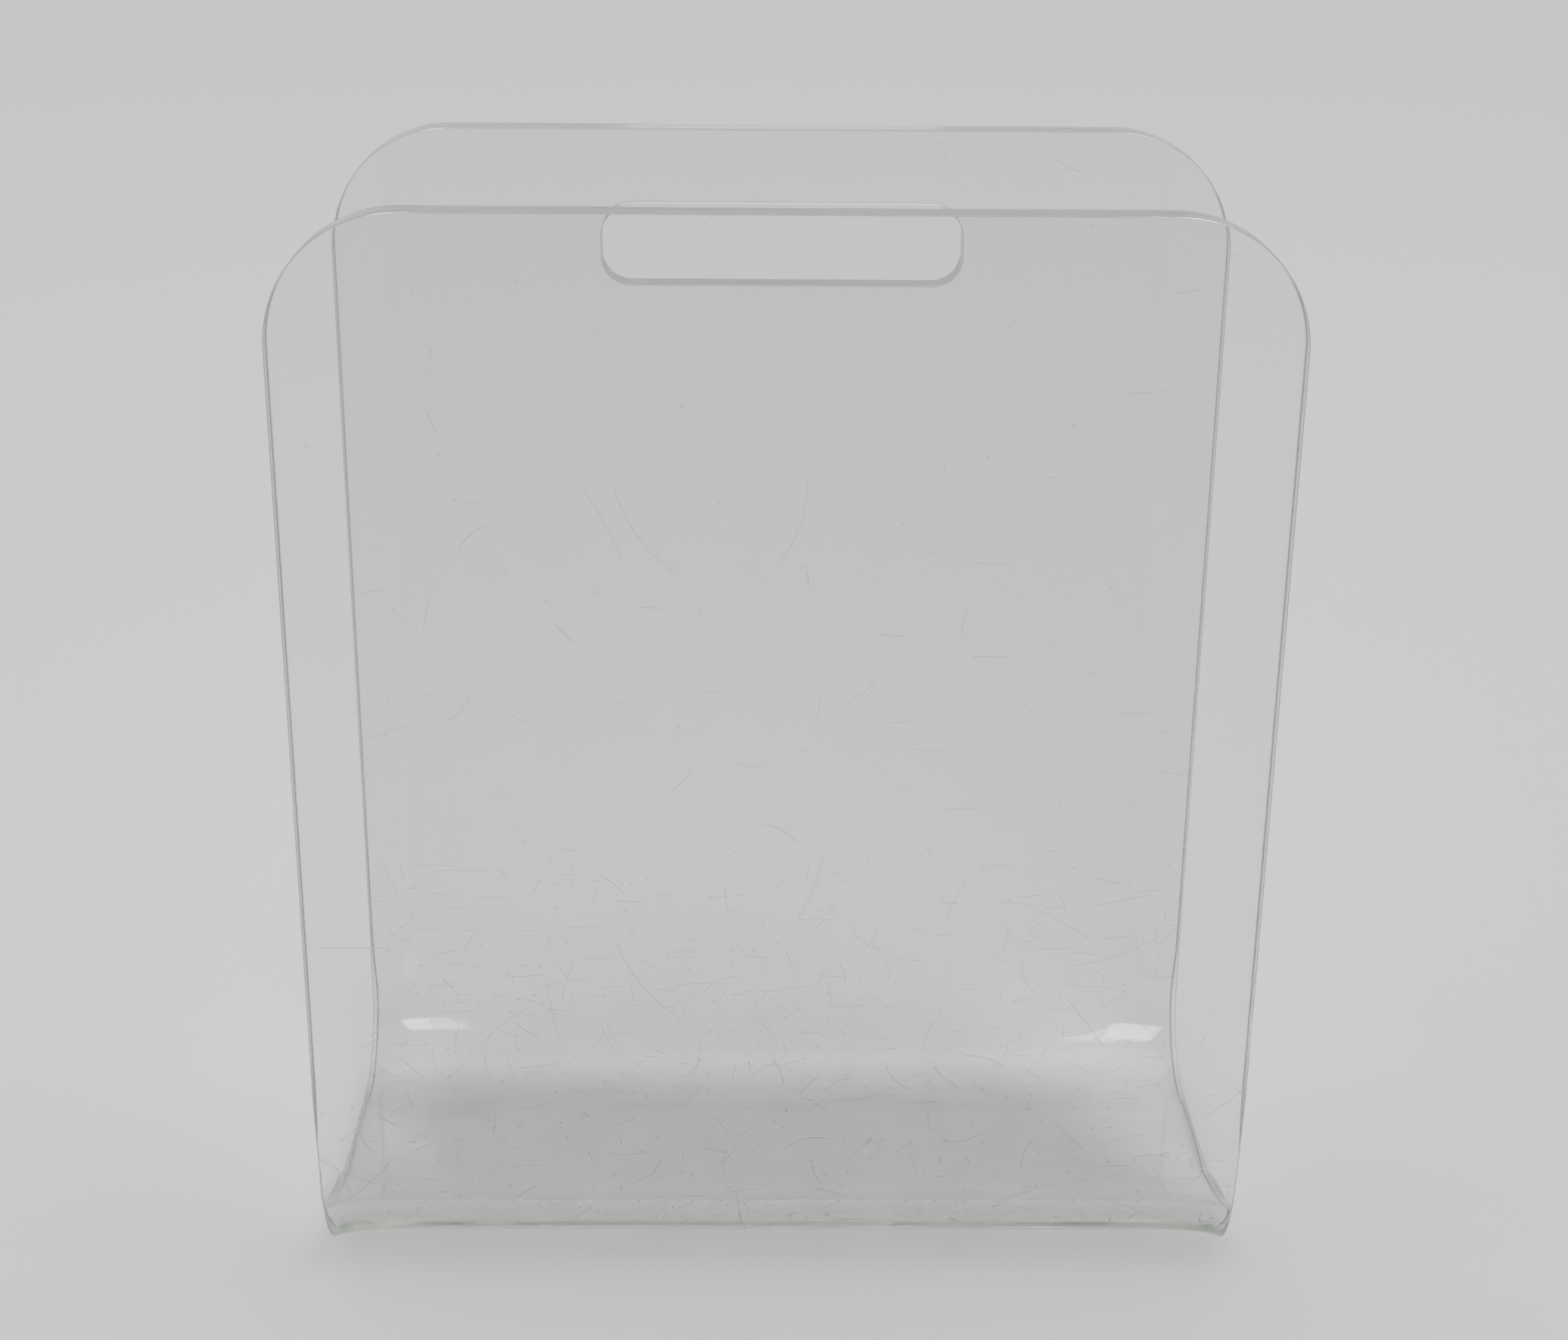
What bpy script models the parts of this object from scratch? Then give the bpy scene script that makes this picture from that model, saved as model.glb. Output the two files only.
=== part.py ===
"""Magazine file holder: one clear acrylic sheet, heat-bent twice into a U.

The front panel faces -Y, the width runs along X, and the floor rests on z = 0.
The back panel has the hand slot. The origin is at the middle of the underside.
"""
import bpy
import bmesh
from math import cos, exp, pi, radians, sin

# The sheet, in metres
WIDTH = 0.3048
HEIGHT = 0.3601
DEPTH = 0.1471
THICKNESS = 0.009525
FRONT_BEND_RADIUS = 0.0256   # inside radius of the front bend's upper part
FRONT_FOOT_RADIUS = 0.0439   # and of its foot, which runs out gently into the floor
REAR_BEND_RADIUS = 0.0320
FRONT_BEND_TURN = radians(55)  # how far the upper part turns
CORNER_RADIUS = 0.0405       # top corners of both panels
EDGE_CHAMFER = 0.0005        # broken edge all round the sheet and the slot

# The hand slot in the back panel
SLOT_WIDTH = 0.1222
SLOT_HEIGHT = 0.0262
SLOT_CORNER_RADIUS = 0.0097
SLOT_BELOW_TOP = 0.0260

# What heat bending does to the two open ends of a bend
FLARE = 0.0027               # the ends curl outwards by this much
FLARE_REACH = 0.0072         # and settle over this length along X
FRONT_NECK_REACH = 0.0680    # the width changes this far either side of the bend's middle
FRONT_OUTER_NECK = 0.0015    # the stretched outer face draws in
FRONT_INNER_BULGE = 0.0016   # the squeezed inner face bulges out
REAR_NECK_REACH = 0.0460
REAR_OUTER_NECK = 0.0019
REAR_INNER_BULGE = 0.0002

# Subdivision
BEND_ROWS = 14
NECK_ROWS = 3
CORNER_STEPS = 10
SLOT_CORNER_STEPS = 6
END_STATIONS = (0.0, 0.003, 0.007, 0.013, 0.022, 0.036)

# Lengths along the middle of the thickness, from the front panel's top edge
FRONT_UPPER_RADIUS = FRONT_BEND_RADIUS + THICKNESS / 2
FRONT_LOWER_RADIUS = FRONT_FOOT_RADIUS + THICKNESS / 2
FRONT_FOOT_TURN = pi / 2 - FRONT_BEND_TURN
REAR_MID_RADIUS = REAR_BEND_RADIUS + THICKNESS / 2
REAR_OUTER_RADIUS = REAR_BEND_RADIUS + THICKNESS
FRONT_BEND_RISE = (FRONT_UPPER_RADIUS * sin(FRONT_BEND_TURN)
                   + FRONT_LOWER_RADIUS * (1 - sin(FRONT_BEND_TURN)) + THICKNESS / 2)
FRONT_BEND_RUN = (FRONT_UPPER_RADIUS * (1 - cos(FRONT_BEND_TURN))
                  + FRONT_LOWER_RADIUS * cos(FRONT_BEND_TURN) + THICKNESS / 2)
FLOOR_RUN = DEPTH - FRONT_BEND_RUN - REAR_OUTER_RADIUS

# The sheet's path from the front panel's top edge, as (length, turn), up to the back panel
STRETCHES = ((HEIGHT - FRONT_BEND_RISE, 0.0),
             (FRONT_UPPER_RADIUS * FRONT_BEND_TURN, FRONT_BEND_TURN),
             (FRONT_LOWER_RADIUS * FRONT_FOOT_TURN, FRONT_FOOT_TURN),
             (FLOOR_RUN, 0.0),
             (REAR_MID_RADIUS * pi / 2, pi / 2))
FRONT_BEND_START = HEIGHT - FRONT_BEND_RISE
FRONT_BEND_END = sum(length for length, turn in STRETCHES[:3])
REAR_BEND_START = FRONT_BEND_END + FLOOR_RUN
REAR_BEND_END = sum(length for length, turn in STRETCHES)
SHEET_LENGTH = REAR_BEND_END + HEIGHT - REAR_OUTER_RADIUS

# Each bend's start, end and neck reach, and how much its outer face draws in and its inner bulges
FRONT_BEND = (FRONT_BEND_START, FRONT_BEND_END, FRONT_NECK_REACH,
              FRONT_OUTER_NECK, FRONT_INNER_BULGE)
REAR_BEND = (REAR_BEND_START, REAR_BEND_END, REAR_NECK_REACH,
             REAR_OUTER_NECK, REAR_INNER_BULGE)


def clear_scene():
    for item in list(bpy.data.objects):
        bpy.data.objects.remove(item, do_unlink=True)


def clear_acrylic():
    material = bpy.data.materials.new("clear_acrylic")
    material.use_nodes = True
    shader = material.node_tree.nodes["Principled BSDF"]
    shader.inputs["Base Color"].default_value = (0.93, 0.95, 0.94, 1.0)
    shader.inputs["Roughness"].default_value = 0.04
    shader.inputs["Metallic"].default_value = 0.0
    shader.inputs["IOR"].default_value = 1.49
    shader.inputs["Transmission Weight"].default_value = 1.0
    return material


def spread(start, end, count):
    return [start + (end - start) * i / count for i in range(count + 1)]


def quarter(centre_x, centre_s, radius, direction, count):
    """Quarter circle of (x, s) points on the side of larger x, from the end of the panel inwards.

    direction is 1 where s grows away from the arc's first point, and -1 where it falls.
    """
    turns = spread(0.0, pi / 2, count)
    return [(centre_x + radius * sin(t), centre_s - direction * radius * cos(t)) for t in turns]


def end_corner(end, direction):
    """The rounded corner of a panel whose top edge is at the length end."""
    centre_s = end + direction * CORNER_RADIUS
    return quarter(WIDTH / 2 - CORNER_RADIUS, centre_s, CORNER_RADIUS, direction, CORNER_STEPS)


def slot_side():
    """Half the slot's outline, from its top middle to its bottom middle."""
    top = SHEET_LENGTH - SLOT_BELOW_TOP
    bottom = top - SLOT_HEIGHT
    centre_x = SLOT_WIDTH / 2 - SLOT_CORNER_RADIUS
    radius = SLOT_CORNER_RADIUS
    upper = quarter(centre_x, top - radius, radius, -1, SLOT_CORNER_STEPS)
    lower = quarter(centre_x, bottom + radius, radius, 1, SLOT_CORNER_STEPS)
    return [(0.0, top)] + upper + lower[::-1] + [(0.0, bottom)]


def bend_rows(bend):
    """Lengths of the cross rows in a bend and in the stretch it disturbs on either side."""
    start, end, reach = bend[:3]
    middle = (start + end) / 2
    before = spread(middle - reach, start, NECK_ROWS)
    inside = spread(start, end, BEND_ROWS)
    after = spread(end, middle + reach, NECK_ROWS)
    return before + inside[1:] + after[1:]


def half_blank(blank):
    """The half of the flat blank on the side of larger x, with the slot cut out."""
    stations = [0.0] + [WIDTH / 2 - inset for inset in reversed(END_STATIONS)]
    lengths = bend_rows(FRONT_BEND) + bend_rows(REAR_BEND)
    rows = [[blank.verts.new((x, s, 0.0)) for x in stations] for s in lengths]
    for lower, upper in zip(rows, rows[1:]):
        for i in range(len(stations) - 1):
            blank.faces.new((lower[i], lower[i + 1], upper[i + 1], upper[i]))
    front = [(0.0, 0.0)] + end_corner(0.0, 1)
    blank.faces.new([blank.verts.new((x, s, 0.0)) for x, s in front] + rows[0][::-1])
    back = slot_side()[::-1] + [(0.0, SHEET_LENGTH)] + end_corner(SHEET_LENGTH, -1)
    blank.faces.new([blank.verts.new((x, s, 0.0)) for x, s in back] + rows[-1][::-1])


def flat_blank():
    """The flat blank as a bmesh: x across, y along the length, z outwards from mid-thickness."""
    blank = bmesh.new()
    half_blank(blank)
    bmesh.ops.mirror(blank, geom=blank.verts[:] + blank.edges[:] + blank.faces[:],
                     axis="X", merge_dist=1e-6)
    bmesh.ops.translate(blank, verts=blank.verts[:], vec=(0, 0, -THICKNESS / 2))
    made = bmesh.ops.extrude_face_region(blank, geom=blank.faces[:])
    outer_side = [item for item in made["geom"] if isinstance(item, bmesh.types.BMVert)]
    bmesh.ops.translate(blank, verts=outer_side, vec=(0, 0, THICKNESS))
    bmesh.ops.recalc_face_normals(blank, faces=blank.faces[:])
    return blank


def break_edges(blank):
    """Chamfers the rims, the edges between a broad face and the sheet's thickness."""
    rims = [edge for edge in blank.edges if edge.calc_face_angle(0.0) > pi / 3]
    bmesh.ops.bevel(blank, geom=rims, offset=EDGE_CHAMFER, offset_type="OFFSET", segments=1,
                    affect="EDGES")


def path_point(s):
    """Place (y, z) of the middle of the thickness at the length s, and its outward normal."""
    y = THICKNESS / 2 - DEPTH / 2
    z = HEIGHT
    heading = -pi / 2
    for length, turn in STRETCHES:
        here = min(s, length)
        s -= here
        if turn == 0.0:
            y += here * cos(heading)
            z += here * sin(heading)
        else:
            radius = length / turn
            ahead = heading + turn * here / length
            y += radius * (sin(ahead) - sin(heading))
            z += radius * (cos(heading) - cos(ahead))
            heading = ahead
    y += s * cos(heading)
    z += s * sin(heading)
    return (y, z), (sin(heading), -cos(heading))


def end_effect(x, s, outwards):
    """Change of width and outward curl at the open ends of the bends, at a point of the blank."""
    decay = exp(-max(WIDTH / 2 - abs(x), 0.0) / FLARE_REACH)
    side = 1.0 if x > 0 else -1.0
    share = outwards / THICKNESS + 0.5
    shift = 0.0
    curl = 0.0
    for start, end, reach, neck, bulge in (FRONT_BEND, REAR_BEND):
        along = (s - start) / (end - start)
        if 0.0 < along < 1.0:
            curl += FLARE * sin(pi * along) ** 2
        from_middle = abs(s - (start + end) / 2) / reach
        if from_middle < 1.0:
            shift += cos(pi / 2 * from_middle) ** 2 * (bulge * (1 - share) - neck * share)
    return side * shift * decay, curl * decay


def bend_blank(blank):
    """Moves the flat blank's points to their places on the bent sheet."""
    for vert in blank.verts:
        x, s, outwards = vert.co
        shift, curl = end_effect(x, s, outwards)
        (y, z), normal = path_point(s)
        reach = outwards + curl
        vert.co = (x + shift, y + reach * normal[0], z + reach * normal[1])
    bmesh.ops.reverse_faces(blank, faces=blank.faces[:])


def build():
    clear_scene()
    blank = flat_blank()
    break_edges(blank)
    bend_blank(blank)
    mesh = bpy.data.meshes.new("bent_acrylic_sheet")
    blank.to_mesh(mesh)
    blank.free()
    mesh.materials.append(clear_acrylic())
    mesh.shade_smooth()
    mesh.set_sharp_from_angle(angle=pi / 6)
    sheet = bpy.data.objects.new("bent_acrylic_sheet", mesh)
    bpy.context.scene.collection.objects.link(sheet)


build()
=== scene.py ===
"""Looks of the clear acrylic magazine holder: the bent sheet with its polished edges and its
wear, a plain pale floor, soft studio light and the camera."""

import bmesh
import bpy
from math import cos, exp, pi, radians, sin
from mathutils import Matrix, Vector


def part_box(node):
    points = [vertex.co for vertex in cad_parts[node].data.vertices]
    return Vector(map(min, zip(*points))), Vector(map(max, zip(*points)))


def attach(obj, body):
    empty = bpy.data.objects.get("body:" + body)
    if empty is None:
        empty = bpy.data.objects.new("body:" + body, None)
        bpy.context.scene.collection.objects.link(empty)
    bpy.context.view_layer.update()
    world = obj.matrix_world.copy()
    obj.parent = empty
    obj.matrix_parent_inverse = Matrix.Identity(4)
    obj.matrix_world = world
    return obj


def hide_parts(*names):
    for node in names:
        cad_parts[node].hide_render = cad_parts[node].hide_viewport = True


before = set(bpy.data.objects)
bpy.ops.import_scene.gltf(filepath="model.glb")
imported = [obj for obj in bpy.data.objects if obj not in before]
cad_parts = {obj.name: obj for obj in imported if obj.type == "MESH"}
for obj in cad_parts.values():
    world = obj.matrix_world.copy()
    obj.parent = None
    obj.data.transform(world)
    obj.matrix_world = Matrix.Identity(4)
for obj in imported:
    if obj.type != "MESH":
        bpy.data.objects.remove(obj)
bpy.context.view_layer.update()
NODE = "bent_acrylic_sheet"
LOW, HIGH = (Vector(corner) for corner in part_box(NODE))

# The sheet, in metres, the same as the solid that it stands for
WIDTH = 0.3048
HEIGHT = HIGH.z - LOW.z
DEPTH = HIGH.y - LOW.y
THICKNESS = 0.009525
FRONT_BEND_RADIUS = 0.0256   # inside radius of the front bend's upper part
FRONT_FOOT_RADIUS = 0.0439   # and of its foot, which runs out gently into the floor
REAR_BEND_RADIUS = 0.0320
FRONT_BEND_TURN = radians(55)  # how far the upper part turns
CORNER_RADIUS = 0.0405       # top corners of both panels
EDGE_RADIUS = 0.0005         # rounded edge all round the sheet and the slot

# The hand slot in the back panel
SLOT_WIDTH = 0.1222
SLOT_HEIGHT = 0.0262
SLOT_CORNER_RADIUS = 0.0097
SLOT_BELOW_TOP = 0.0260

# What heat bending does to the two open ends of a bend
FLARE = 0.0027               # the ends curl outwards by this much
FLARE_REACH = 0.0072         # and settle over this length along X
FRONT_NECK_REACH = 0.0680    # the width changes this far either side of the bend's middle
FRONT_OUTER_NECK = 0.0015    # the stretched outer face draws in
FRONT_INNER_BULGE = 0.0016   # the squeezed inner face bulges out
REAR_NECK_REACH = 0.0460
REAR_OUTER_NECK = 0.0019
REAR_INNER_BULGE = 0.0002

# Subdivision
BEND_ROWS = 48
NECK_ROWS = 10
CORNER_STEPS = 36
SLOT_CORNER_STEPS = 18
EDGE_STEPS = 5
RIM_ANGLE = pi / 3           # edges of the blank sharper than this are rims, and get rounded
END_STATIONS = (0.0, 0.0009, 0.0014, 0.0021, 0.0030, 0.0041, 0.0055, 0.0073, 0.0096, 0.0125,
                0.0162, 0.0210, 0.0275, 0.0370)

# Lengths along the middle of the thickness, from the front panel's top edge
FRONT_UPPER_RADIUS = FRONT_BEND_RADIUS + THICKNESS / 2
FRONT_LOWER_RADIUS = FRONT_FOOT_RADIUS + THICKNESS / 2
FRONT_FOOT_TURN = pi / 2 - FRONT_BEND_TURN
REAR_MID_RADIUS = REAR_BEND_RADIUS + THICKNESS / 2
REAR_OUTER_RADIUS = REAR_BEND_RADIUS + THICKNESS
FRONT_BEND_RISE = (FRONT_UPPER_RADIUS * sin(FRONT_BEND_TURN)
                   + FRONT_LOWER_RADIUS * (1 - sin(FRONT_BEND_TURN)) + THICKNESS / 2)
FRONT_BEND_RUN = (FRONT_UPPER_RADIUS * (1 - cos(FRONT_BEND_TURN))
                  + FRONT_LOWER_RADIUS * cos(FRONT_BEND_TURN) + THICKNESS / 2)
FLOOR_RUN = DEPTH - FRONT_BEND_RUN - REAR_OUTER_RADIUS

# The sheet's path from the front panel's top edge, as (length, turn), up to the back panel
STRETCHES = ((HEIGHT - FRONT_BEND_RISE, 0.0),
             (FRONT_UPPER_RADIUS * FRONT_BEND_TURN, FRONT_BEND_TURN),
             (FRONT_LOWER_RADIUS * FRONT_FOOT_TURN, FRONT_FOOT_TURN),
             (FLOOR_RUN, 0.0),
             (REAR_MID_RADIUS * pi / 2, pi / 2))
FRONT_BEND_START = HEIGHT - FRONT_BEND_RISE
FRONT_BEND_END = sum(length for length, turn in STRETCHES[:3])
REAR_BEND_START = FRONT_BEND_END + FLOOR_RUN
REAR_BEND_END = sum(length for length, turn in STRETCHES)
SHEET_LENGTH = REAR_BEND_END + HEIGHT - REAR_OUTER_RADIUS

# Each bend's start, end and neck reach, and how much its outer face draws in and its inner bulges
FRONT_BEND = (FRONT_BEND_START, FRONT_BEND_END, FRONT_NECK_REACH,
              FRONT_OUTER_NECK, FRONT_INNER_BULGE)
REAR_BEND = (REAR_BEND_START, REAR_BEND_END, REAR_NECK_REACH,
             REAR_OUTER_NECK, REAR_INNER_BULGE)

# Wear, as (length along the sheet, share of marks): the floor and the foot of the back panel
# have most of it, and a row of scuffs lies across the top of the rear bend
WEAR_ALONG = ((0.0, 0.02), (0.24, 0.03), (0.35, 0.85), (0.44, 1.0), (0.51, 0.45), (0.56, 0.04),
              (SHEET_LENGTH, 0.02))
SCUFFS_ALONG = ((0.0, 0.0), (0.30, 0.01), (0.39, 0.60), (0.44, 0.35), (0.478, 0.20),
                (0.485, 1.0), (0.492, 1.0), (0.498, 0.20), (0.53, 0.40), (0.56, 0.02),
                (SHEET_LENGTH, 0.0))

# Layers of marks: cell size, line width, half length, bow and share of cells
SCRATCHES = ((0.036, 0.00050, 0.026, 10.0, 0.80), (0.015, 0.00050, 0.009, 40.0, 0.85),
             (0.006, 0.00060, 0.0013, 60.0, 0.45))
SCUFFS = (0.012, 0.00044, 0.010, 6.0, 0.85)
SCUFF_TILT = 0.16            # scuffs turn up to half of this away from the X direction, in radians
SIDE_SHIFT = (3.1, 1.7, 0.0)  # keeps the marks of the two faces apart
LAYER_SHIFT = (0.37, 0.61, 0.0)  # and those of the layers of one face
FADE_SHARE = 1 / 6           # a mark runs out at both ends over this share of its half length

# Marks with a place of their own: x, length along the sheet, turn, half length, bow, and side
# (1 for the outer face, -1 for the inner one)
LONE_MARKS = ((-0.1364, 0.2354, 0.0, 0.0125, 0.0, 1), (-0.1252, 0.2364, 1.2, 0.0014, 60.0, 1),
              (-0.0300, 0.4260, 0.35, 0.0190, 16.0, -1))
LONE_WIDTH = 0.00055
LONE_FADE_SHARE = 1 / 3

# Rubbed patches: x, length along the sheet, half width, half length
PATCHES = ((-0.1380, 0.512, 0.0035, 0.016), (0.1330, 0.512, 0.0045, 0.020),
           (-0.1180, 0.392, 0.0300, 0.014), (0.1180, 0.392, 0.0300, 0.014),
           (0.0, 0.397, 0.1300, 0.0022))
PATCH_FLOOR = 0.3            # added to the clouds' level, so that a patch has no clean gaps
CLOUD_SIZE = 0.025
HAZE = 0.14                  # roughness that wear and patches add to the polish
HAZE_DULLING = 0.10          # how far they move its colour towards that of a mark
MARK_ROUGHNESS = 0.40
EDGE_ROUGHNESS = 0.12        # sawn and flamed edges, with streaks along them
STREAK_ROUGHNESS = 0.16
STREAK_DEPTH = 0.00001
STREAK_SCALE = (14.0, 14.0, 650.0)  # cells of the streaks per metre, along both ways and across
FACE_TOLERANCE = 1e-5
ACRYLIC_IOR = 1.49
CLEAR = (0.880, 0.882, 0.872, 1.0)
MARKED = (0.30, 0.30, 0.30, 1.0)
# Colour of the sawn edges: painted shade, a grey that darkens them all along, streaked paler and
# darker along their length after the saw marks
EDGE_PALE_STREAK_SHADE = (0.70, 0.695, 0.68, 1.0)
EDGE_DARK_STREAK_SHADE = (0.25, 0.245, 0.24, 1.0)
# Painted shade: a dark line along the rounded rims between the broad faces and the edges
RIM_PAINTED_SHADE = (0.30, 0.30, 0.30, 1.0)
ABSORPTION_AND_SHADE = 40.0            # per metre, for the part of the light that ABSORPTION_TINT lacks; far denser than in real acrylic, so that light running a long way inside the sheet comes out darker, as painted shade
ABSORPTION_TINT = (0.938, 0.943, 0.934, 1.0)

# Sockets of a Mix node that mixes colours
MIX_COLOUR_A = 6
MIX_COLOUR_B = 7
MIX_COLOUR_OUT = 2

# The stage and the light round it
FLOOR_HALF = 8.0
FLOOR_GAP = 0.0001           # the floor lies this far below the sheet
FLOOR_COLOUR = (0.78, 0.785, 0.78, 1.0)
FLOOR_ROUGHNESS = 0.6
SKY_COLOUR = (0.97, 1.0, 0.99, 1.0)
LIGHT_BOUNCES = 96           # light runs a long way inside the sheet before it gets out
DIM_SIDE = 0.45
BRIGHT_SIDE = 1.50
DIM_BELOW = -0.5             # forward share of a direction where the dim side ends
BRIGHT_ABOVE = 0.9           # and where the bright side starts
UP_SHARE = 1.0               # how much an upward direction counts against a forward one

# The camera: lens and sensor in millimetres, turns in degrees, place in metres
LENS = 59.41
SENSOR = 36.0
CAMERA_TURN = -0.96
CAMERA_PITCH = 21.69
CAMERA_ROLL = 0.57
CAMERA_PLACE = (-0.0125, -DEPTH / 2 - 0.7327, 0.5118)


# ------------------------------------------------------------------ the flat blank

def spread(start, end, count):
    return [start + (end - start) * i / count for i in range(count + 1)]


def quarter(centre_x, centre_s, radius, direction, count):
    """Quarter circle of (x, s) points on the side of larger x, from the end of the panel inwards.

    direction is 1 where s grows away from the arc's first point, and -1 where it falls.
    """
    turns = spread(0.0, pi / 2, count)
    return [(centre_x + radius * sin(t), centre_s - direction * radius * cos(t)) for t in turns]


def end_corner(end, direction):
    """The rounded corner of a panel whose top edge is at the length end."""
    centre_s = end + direction * CORNER_RADIUS
    return quarter(WIDTH / 2 - CORNER_RADIUS, centre_s, CORNER_RADIUS, direction, CORNER_STEPS)


def slot_side():
    """Half the slot's outline, from its top middle to its bottom middle."""
    top = SHEET_LENGTH - SLOT_BELOW_TOP
    bottom = top - SLOT_HEIGHT
    centre_x = SLOT_WIDTH / 2 - SLOT_CORNER_RADIUS
    radius = SLOT_CORNER_RADIUS
    upper = quarter(centre_x, top - radius, radius, -1, SLOT_CORNER_STEPS)
    lower = quarter(centre_x, bottom + radius, radius, 1, SLOT_CORNER_STEPS)
    return [(0.0, top)] + upper + lower[::-1] + [(0.0, bottom)]


def bend_rows(bend):
    """Lengths of the cross rows in a bend and in the stretch it disturbs on either side."""
    start, end, reach = bend[:3]
    middle = (start + end) / 2
    before = spread(middle - reach, start, NECK_ROWS)
    inside = spread(start, end, BEND_ROWS)
    after = spread(end, middle + reach, NECK_ROWS)
    return before + inside[1:] + after[1:]


def half_blank(blank):
    """The half of the flat blank on the side of larger x, with the slot cut out."""
    stations = [0.0] + [WIDTH / 2 - inset for inset in reversed(END_STATIONS)]
    lengths = bend_rows(FRONT_BEND) + bend_rows(REAR_BEND)
    rows = [[blank.verts.new((x, s, 0.0)) for x in stations] for s in lengths]
    for lower, upper in zip(rows, rows[1:]):
        for i in range(len(stations) - 1):
            blank.faces.new((lower[i], lower[i + 1], upper[i + 1], upper[i]))
    front = [(0.0, 0.0)] + end_corner(0.0, 1)
    blank.faces.new([blank.verts.new((x, s, 0.0)) for x, s in front] + rows[0][::-1])
    back = slot_side()[::-1] + [(0.0, SHEET_LENGTH)] + end_corner(SHEET_LENGTH, -1)
    blank.faces.new([blank.verts.new((x, s, 0.0)) for x, s in back] + rows[-1][::-1])


def flat_blank():
    """The flat blank as a bmesh: x across, y along the length, z outwards from mid-thickness."""
    blank = bmesh.new()
    half_blank(blank)
    bmesh.ops.mirror(blank, geom=blank.verts[:] + blank.edges[:] + blank.faces[:],
                     axis="X", merge_dist=1e-6)
    bmesh.ops.translate(blank, verts=blank.verts[:], vec=(0, 0, -THICKNESS / 2))
    made = bmesh.ops.extrude_face_region(blank, geom=blank.faces[:])
    outer_side = [item for item in made["geom"] if isinstance(item, bmesh.types.BMVert)]
    bmesh.ops.translate(blank, verts=outer_side, vec=(0, 0, THICKNESS))
    bmesh.ops.recalc_face_normals(blank, faces=blank.faces[:])
    rims = [edge for edge in blank.edges if edge.calc_face_angle(0.0) > RIM_ANGLE]
    bmesh.ops.bevel(blank, geom=rims, offset=EDGE_RADIUS, offset_type="OFFSET",
                    segments=EDGE_STEPS, profile=0.5, affect="EDGES")
    return blank


def flat_normal(vert):
    """Normal of the flat blank at a point, true to its flat faces and its rounded edges."""
    outwards = vert.co.z
    past_flat = abs(outwards) - (THICKNESS / 2 - EDGE_RADIUS)
    rise = min(max(past_flat / EDGE_RADIUS, 0.0), 1.0)
    level = Vector((0, 0, 0))
    for face in vert.link_faces:
        level += face.normal * face.calc_area()
    level.z = 0.0
    if rise > 0.9999 or level.length == 0.0:
        return Vector((0, 0, 1 if outwards > 0 else -1))
    normal = level.normalized() * (1 - rise * rise) ** 0.5
    normal.z = rise if outwards > 0 else -rise
    return normal


# ------------------------------------------------------------------ bending it

def path_point(s):
    """Place (y, z) of the middle of the thickness at the length s, and its outward normal."""
    y = THICKNESS / 2 - DEPTH / 2
    z = HEIGHT
    heading = -pi / 2
    for length, turn in STRETCHES:
        here = min(s, length)
        s -= here
        if turn == 0.0:
            y += here * cos(heading)
            z += here * sin(heading)
        else:
            radius = length / turn
            ahead = heading + turn * here / length
            y += radius * (sin(ahead) - sin(heading))
            z += radius * (cos(heading) - cos(ahead))
            heading = ahead
    y += s * cos(heading)
    z += s * sin(heading)
    return (y, z), (sin(heading), -cos(heading))


def end_effect(x, s, outwards):
    """Change of width and outward curl at the open ends of the bends, at a point of the blank."""
    decay = exp((abs(x) - WIDTH / 2) / FLARE_REACH)
    side = 1.0 if x > 0 else -1.0
    share = outwards / THICKNESS + 0.5
    shift = 0.0
    curl = 0.0
    for start, end, reach, neck, bulge in (FRONT_BEND, REAR_BEND):
        along = (s - start) / (end - start)
        if 0.0 < along < 1.0:
            curl += FLARE * sin(pi * along) ** 2
        from_middle = abs(s - (start + end) / 2) / reach
        if from_middle < 1.0:
            shift += cos(pi / 2 * from_middle) ** 2 * (bulge * (1 - share) - neck * share)
    return side * shift * decay, curl * decay


def bent(x, s, outwards):
    """Place on the bent sheet of a point of the flat blank."""
    shift, curl = end_effect(x, s, outwards)
    (y, z), normal = path_point(s)
    reach = outwards + curl
    return Vector((x + shift, y + reach * normal[0], z + reach * normal[1]))


def bent_normal(place, normal):
    """Normal on the bent sheet, from how the bend stretches the blank near the place."""
    step = 1e-5
    columns = []
    for axis in range(3):
        ahead = list(place)
        behind = list(place)
        ahead[axis] += step
        behind[axis] -= step
        columns.append((bent(*ahead) - bent(*behind)) / (2 * step))
    stretch = Matrix(columns)
    return (stretch.inverted() @ normal).normalized()


def sheet_piece(material):
    blank = flat_blank()
    blank.normal_update()
    places = []
    normals = []
    for vert in blank.verts:
        place = tuple(vert.co)
        places.append(place)
        normals.append(bent_normal(place, flat_normal(vert)))
    for vert, place in zip(blank.verts, places):
        vert.co = bent(*place)
    bmesh.ops.reverse_faces(blank, faces=blank.faces[:])
    mesh = bpy.data.meshes.new("acrylic_sheet")
    blank.to_mesh(mesh)
    blank.free()
    mesh.shade_smooth()
    mesh.normals_split_custom_set_from_vertices(normals)
    flat_place = mesh.attributes.new("flat_place", "FLOAT_VECTOR", "POINT")
    flat_place.data.foreach_set("vector", [value for place in places for value in place])
    mesh.materials.append(material)
    sheet = bpy.data.objects.new("acrylic_sheet", mesh)
    bpy.context.scene.collection.objects.link(sheet)
    return sheet


# ------------------------------------------------------------------ materials

def node(tree, kind, inputs=None, **settings):
    made = tree.nodes.new(kind)
    for name, value in settings.items():
        setattr(made, name, value)
    for name, value in (inputs or {}).items():
        if isinstance(value, bpy.types.NodeSocket):
            tree.links.new(value, made.inputs[name])
        else:
            made.inputs[name].default_value = value
    return made


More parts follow.
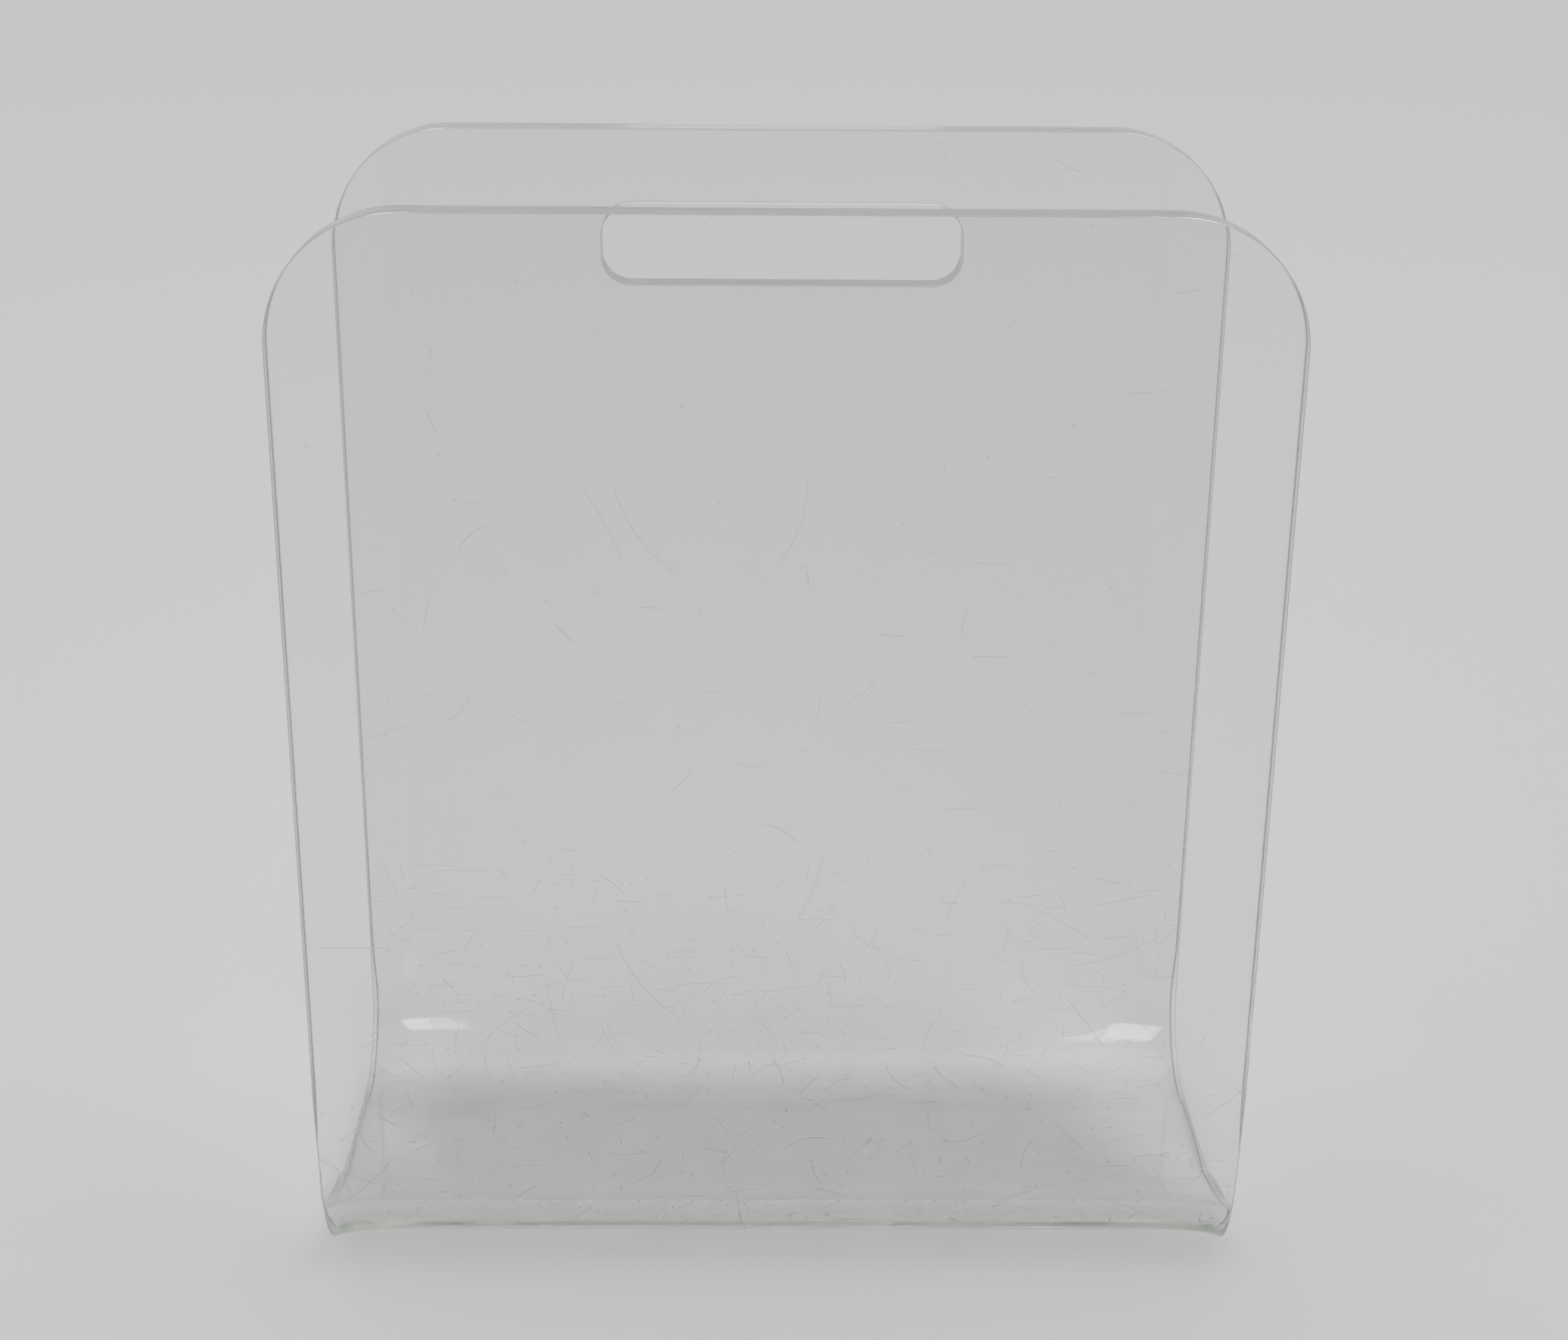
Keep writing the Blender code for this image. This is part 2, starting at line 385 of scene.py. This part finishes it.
def maths(tree, operation, *values):
    return node(tree, "ShaderNodeMath", dict(enumerate(values)), operation=operation).outputs[0]


def vector_maths(tree, operation, first, second):
    return node(tree, "ShaderNodeVectorMath", {0: first, 1: second}, operation=operation).outputs[0]


def shifted(tree, place, shift):
    return vector_maths(tree, "ADD", place, shift)


def ranged(tree, value, low, high, **settings):
    """0 where the value is low and 1 where it is high, held at those levels beyond them."""
    return node(tree, "ShaderNodeMapRange",
                {"Value": value, "From Min": low, "From Max": high}, **settings).outputs[0]


def mixed(tree, share, first, second):
    """The first colour where the share is 0, the second where it is 1."""
    colours = {"Factor": share, MIX_COLOUR_A: first, MIX_COLOUR_B: second}
    return node(tree, "ShaderNodeMix", colours, data_type="RGBA").outputs[MIX_COLOUR_OUT]


def grey(level):
    return (level, level, level, 1.0)


def stroke(tree, away, turn, width, reach, bow, fade):
    """A line or arc through the origin of the vector away: 1 along its middle, 0 off it.

    turn is its direction, reach half its length, bow its curvature (1/m) and fade the length
    over which its ends run out. turn, reach and bow are numbers or sockets.
    """
    turned = node(tree, "ShaderNodeVectorRotate", {"Vector": away, "Angle": turn},
                  rotation_type="Z_AXIS")
    line = node(tree, "ShaderNodeSeparateXYZ", {"Vector": turned.outputs[0]})
    along, across = line.outputs["X"], line.outputs["Y"]
    arch = maths(tree, "MULTIPLY", maths(tree, "MULTIPLY", along, along), bow)
    offset = maths(tree, "ABSOLUTE", maths(tree, "SUBTRACT", across, arch))
    core = ranged(tree, offset, width / 2, 0.0, interpolation_type="SMOOTHSTEP")
    spare = maths(tree, "SUBTRACT", reach, maths(tree, "ABSOLUTE", along))
    ends = ranged(tree, spare, 0.0, fade)
    return maths(tree, "MULTIPLY", core, ends)


def mark_layer(tree, place, layer, tilt, worn):
    """One layer of fine marks: in each cell at most one line or arc.

    tilt is the range of the marks' directions, and worn scales the share of cells with a mark.
    """
    cell, width, reach, bow, share = layer
    cells = node(tree, "ShaderNodeTexVoronoi", {"Vector": place, "Scale": 1 / cell},
                 voronoi_dimensions="2D")
    away = vector_maths(tree, "SUBTRACT", place, cells.outputs["Position"])
    chance = node(tree, "ShaderNodeSeparateColor", {"Color": cells.outputs["Color"]})
    turn = maths(tree, "MULTIPLY_ADD", chance.outputs["Red"], tilt, -tilt / 2)
    curvature = maths(tree, "MULTIPLY_ADD", chance.outputs["Green"], 2 * bow, -bow)
    length = maths(tree, "MULTIPLY", chance.outputs["Green"], reach)
    line = stroke(tree, away, turn, width, length, curvature, reach * FADE_SHARE)
    wanted = maths(tree, "MULTIPLY", worn, share)
    return maths(tree, "MULTIPLY", line, maths(tree, "LESS_THAN", chance.outputs["Blue"], wanted))


def level_along(tree, length, points):
    """A level that follows (length along the sheet, level) points from one end to the other."""
    ramp = node(tree, "ShaderNodeValToRGB",
                {"Fac": maths(tree, "DIVIDE", length, SHEET_LENGTH)})
    elements = ramp.color_ramp.elements
    for s, level in points[1:-1]:
        elements.new(s / SHEET_LENGTH).color = grey(level)
    elements[0].color = grey(points[0][1])
    elements[-1].color = grey(points[-1][1])
    return ramp.outputs["Color"]


def largest(tree, levels):
    top = levels[0]
    for level in levels[1:]:
        top = maths(tree, "MAXIMUM", top, level)
    return top


def scratches(tree, flat, on_face):
    """All the marks on the two broad faces, from 0 to 1. flat is the place on the flat blank."""
    axes = node(tree, "ShaderNodeSeparateXYZ", {"Vector": flat})
    side = maths(tree, "SIGN", axes.outputs["Z"])
    apart = node(tree, "ShaderNodeVectorMath", {0: SIDE_SHIFT, "Scale": side},
                 operation="SCALE").outputs[0]
    place = shifted(tree, flat, apart)
    worn = level_along(tree, axes.outputs["Y"], WEAR_ALONG)
    scuffed = level_along(tree, axes.outputs["Y"], SCUFFS_ALONG)
    layers = []
    for i, layer in enumerate(SCRATCHES):
        shift = [i * step for step in LAYER_SHIFT]
        layers.append(mark_layer(tree, shifted(tree, place, shift), layer, 2 * pi, worn))
    layers.append(mark_layer(tree, place, SCUFFS, SCUFF_TILT, scuffed))
    for x, s, turn, reach, bow, face in LONE_MARKS:
        line = stroke(tree, shifted(tree, flat, (-x, -s, 0.0)), turn, LONE_WIDTH, reach, bow,
                      reach * LONE_FADE_SHARE)
        here = maths(tree, "GREATER_THAN", maths(tree, "MULTIPLY", side, face), 0.0)
        layers.append(maths(tree, "MULTIPLY", line, here))
    return maths(tree, "MULTIPLY", largest(tree, layers), on_face)


def haze(tree, flat, on_face):
    """Haze from rubbing, from 0 to 1: cloudy over the worn parts, and stronger in patches."""
    length = node(tree, "ShaderNodeSeparateXYZ", {"Vector": flat}).outputs["Y"]
    clouds = node(tree, "ShaderNodeTexNoise",
                  {"Vector": flat, "Scale": 1 / CLOUD_SIZE, "Detail": 5.0,
                   "Roughness": 0.6}).outputs["Fac"]
    film = ranged(tree, clouds, 0.40, 0.75)
    levels = [maths(tree, "MULTIPLY", film, level_along(tree, length, WEAR_ALONG))]
    for x, s, half_width, half_length in PATCHES:
        scaled = vector_maths(tree, "MULTIPLY", shifted(tree, flat, (-x, -s, 0.0)),
                              (1 / half_width, 1 / half_length, 0.0))
        away = node(tree, "ShaderNodeVectorMath", {0: scaled}, operation="LENGTH")
        patch = ranged(tree, away.outputs["Value"], 1.0, 0.0, interpolation_type="SMOOTHSTEP")
        levels.append(maths(tree, "MULTIPLY", patch, maths(tree, "ADD", clouds, PATCH_FLOOR)))
    return maths(tree, "MULTIPLY", largest(tree, levels), on_face)


def edge_streaks(tree, flat):
    """Fine streaks along the sawn edges, from 0 to 1: they change fast across the thickness only."""
    stretched = vector_maths(tree, "MULTIPLY", flat, STREAK_SCALE)
    noise = node(tree, "ShaderNodeTexNoise",
                 {"Vector": stretched, "Scale": 1.0, "Detail": 3.0}).outputs["Fac"]
    return ranged(tree, noise, 0.35, 0.65)


def acrylic():
    """Clear polished acrylic with the hairlines, nicks and faint haze of use, and painted shade: grey
    on its edges, a dark line on its rims and strong absorption inside.
    """
    material = bpy.data.materials.new("clear_acrylic_worn")
    material.use_nodes = True
    tree = material.node_tree
    shader = tree.nodes["Principled BSDF"]
    shader.inputs["Metallic"].default_value = 0.0
    shader.inputs["IOR"].default_value = ACRYLIC_IOR
    shader.inputs["Transmission Weight"].default_value = 1.0

    # Broad faces, edges between them and the rounded rims, told apart by their depth in the sheet
    flat = node(tree, "ShaderNodeAttribute", attribute_name="flat_place").outputs["Vector"]
    outwards = node(tree, "ShaderNodeSeparateXYZ", {"Vector": flat}).outputs["Z"]
    depth = maths(tree, "ABSOLUTE", outwards)
    on_face = maths(tree, "GREATER_THAN", depth, THICKNESS / 2 - FACE_TOLERANCE)
    on_edge = maths(tree, "LESS_THAN", depth, THICKNESS / 2 - EDGE_RADIUS)
    on_rim = maths(tree, "SUBTRACT", maths(tree, "SUBTRACT", 1.0, on_face), on_edge)
    marks = scratches(tree, flat, on_face)
    rubbed = haze(tree, flat, on_face)
    streaks = edge_streaks(tree, flat)

    face_rough = maths(tree, "MULTIPLY_ADD", marks, MARK_ROUGHNESS,
                       maths(tree, "MULTIPLY", rubbed, HAZE))
    edge_rough = maths(tree, "MULTIPLY_ADD", streaks, STREAK_ROUGHNESS, EDGE_ROUGHNESS)
    rough = maths(tree, "MULTIPLY_ADD", on_edge, edge_rough, face_rough)
    tree.links.new(rough, shader.inputs["Roughness"])

    dulled = maths(tree, "MULTIPLY_ADD", rubbed, HAZE_DULLING, marks)
    face = mixed(tree, dulled, CLEAR, MARKED)
    # Painted shade: the edges take a grey colour, streaked along their length
    edge = mixed(tree, streaks, EDGE_PALE_STREAK_SHADE, EDGE_DARK_STREAK_SHADE)
    # The rounded rims get a dark line of painted shade
    colour = mixed(tree, on_rim, mixed(tree, on_edge, face, edge), RIM_PAINTED_SHADE)
    tree.links.new(colour, shader.inputs["Base Color"])

    lines = maths(tree, "MULTIPLY", streaks, on_edge)
    bump = node(tree, "ShaderNodeBump", {"Height": lines, "Distance": STREAK_DEPTH})
    tree.links.new(bump.outputs["Normal"], shader.inputs["Normal"])

    # Painted shade as well as the acrylic's faint tint: the strong absorption darkens light that runs
    # a long way inside the sheet
    inside = node(tree, "ShaderNodeVolumeAbsorption",
                  {"Color": ABSORPTION_TINT, "Density": ABSORPTION_AND_SHADE})
    tree.links.new(inside.outputs["Volume"], tree.nodes["Material Output"].inputs["Volume"])
    return material


def floor_material():
    material = bpy.data.materials.new("pale_floor")
    material.use_nodes = True
    tree = material.node_tree
    shader = tree.nodes["Principled BSDF"]
    shader.inputs["Base Color"].default_value = FLOOR_COLOUR
    shader.inputs["Roughness"].default_value = FLOOR_ROUGHNESS
    shader.inputs["Specular IOR Level"].default_value = 0.0
    return material


# ------------------------------------------------------------------ stage, light, camera

def floor():
    mesh = bpy.data.meshes.new("floor")
    corners = [(-FLOOR_HALF, -FLOOR_HALF, 0), (FLOOR_HALF, -FLOOR_HALF, 0),
               (FLOOR_HALF, FLOOR_HALF, 0), (-FLOOR_HALF, FLOOR_HALF, 0)]
    mesh.from_pydata(corners, [], [(0, 1, 2, 3)])
    mesh.materials.append(floor_material())
    ground = bpy.data.objects.new("floor", mesh)
    bpy.context.scene.collection.objects.link(ground)
    ground.location.z = LOW.z - FLOOR_GAP


def softbox(name, place, target, size, power, lights_floor=True):
    """A rectangular lamp that faces the target. One that doesn't light the floor is only mirrored."""
    light = bpy.data.lights.new(name, "AREA")
    light.shape = "RECTANGLE"
    light.size, light.size_y = size
    light.energy = power
    lamp = bpy.data.objects.new(name, light)
    bpy.context.scene.collection.objects.link(lamp)
    lamp.location = place
    lamp.rotation_euler = (Vector(target) - Vector(place)).to_track_quat("-Z", "Y").to_euler()
    lamp.visible_camera = False
    lamp.visible_diffuse = lights_floor


def surroundings():
    """A studio that is bright beyond the holder and dimmer on the camera's side."""
    world = bpy.data.worlds.new("studio")
    world.use_nodes = True
    tree = world.node_tree
    direction = node(tree, "ShaderNodeTexCoord").outputs["Generated"]
    axes = node(tree, "ShaderNodeSeparateXYZ", {"Vector": direction})
    up = maths(tree, "MAXIMUM", axes.outputs["Z"], 0.0)
    ahead = maths(tree, "MULTIPLY_ADD", up, UP_SHARE, axes.outputs["Y"])
    level = node(tree, "ShaderNodeMapRange",
                 {"Value": ahead, "From Min": DIM_BELOW, "From Max": BRIGHT_ABOVE,
                  "To Min": DIM_SIDE, "To Max": BRIGHT_SIDE},
                 interpolation_type="SMOOTHSTEP").outputs[0]
    background = tree.nodes["Background"]
    background.inputs["Color"].default_value = SKY_COLOUR
    tree.links.new(level, background.inputs["Strength"])
    bpy.context.scene.world = world


def long_light_paths():
    """Lets light reflect inside the sheet as often as it takes to get from one edge to another."""
    cycles = bpy.context.scene.cycles
    cycles.max_bounces = LIGHT_BOUNCES
    cycles.transmission_bounces = LIGHT_BOUNCES
    cycles.glossy_bounces = LIGHT_BOUNCES


def camera():
    data = bpy.data.cameras.new("camera")
    data.sensor_width = SENSOR
    data.lens = LENS
    data.clip_end = 50.0
    eye = bpy.data.objects.new("camera", data)
    bpy.context.scene.collection.objects.link(eye)
    turn = Matrix.Rotation(radians(CAMERA_TURN), 4, "Z")
    tilt = Matrix.Rotation(pi / 2 - radians(CAMERA_PITCH), 4, "X")
    roll = Matrix.Rotation(radians(CAMERA_ROLL), 4, "Z")
    eye.matrix_world = Matrix.Translation(CAMERA_PLACE) @ turn @ tilt @ roll
    bpy.context.scene.camera = eye


floor()
surroundings()
softbox("overhead", (0.3, 0.3, 2.6), (0.0, 0.0, 0.1), (2.5, 2.0), 24.0)
softbox("window_left", (-0.80, -3.0, 2.11), (-0.80, 0.0, 2.11), (0.50, 1.06), 240.0, False)
softbox("window_right", (1.37, -3.0, 3.05), (1.37, 0.0, 3.05), (1.25, 2.25), 900.0, False)
camera()
long_light_paths()
sheet = sheet_piece(acrylic())
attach(sheet, "root")
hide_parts(NODE)
